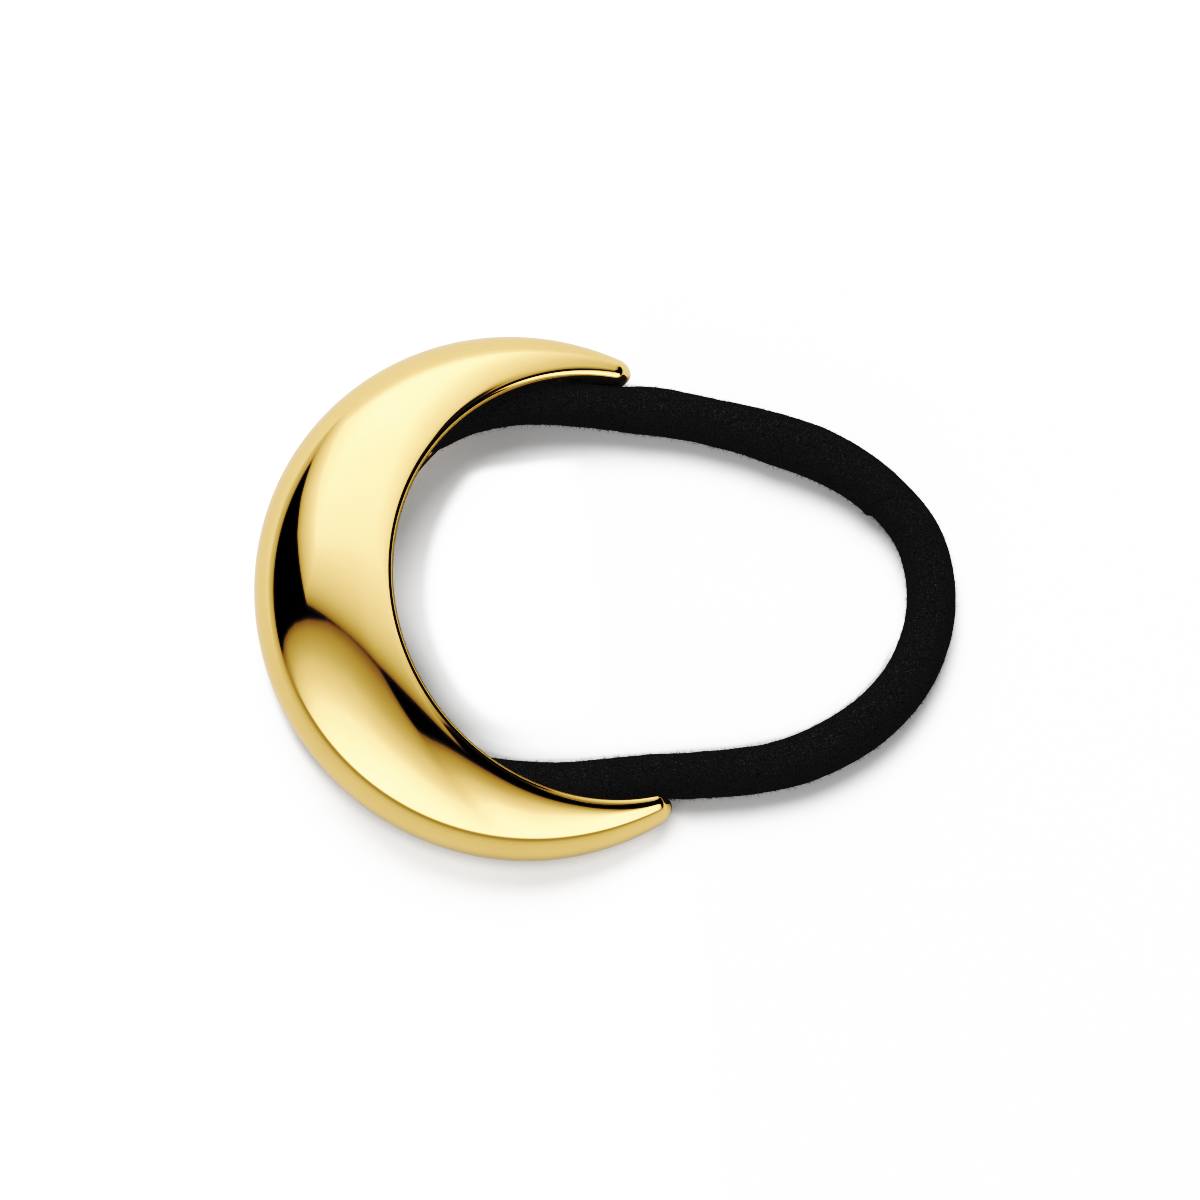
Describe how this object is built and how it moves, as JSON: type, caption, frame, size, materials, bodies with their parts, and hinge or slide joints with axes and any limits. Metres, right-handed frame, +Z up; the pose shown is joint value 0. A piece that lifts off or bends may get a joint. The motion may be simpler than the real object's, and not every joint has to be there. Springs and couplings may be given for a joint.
{
  "type": "ponytail cuff",
  "caption": "Domed crescent metal ponytail cuff, open towards the hair, on an endless black knitted elastic.",
  "frame": {"origin": "on the table, under the middle of the whole cuff as it lies on its side", "axes": "+Z up off the table, +X from the back of the crescent towards the far end of the loop, +Y towards the upper tip"},
  "size_m": [0.0624, 0.048, 0.0133],
  "materials": {
    "polished_gold": "mirror-polished gold plate",
    "black_knit": "fine knitted cover, matt"
  },
  "bodies": {
    "root": {"crescent_shell": "polished_gold", "elastic_band": "black_knit"}
  },
  "joints": []
}
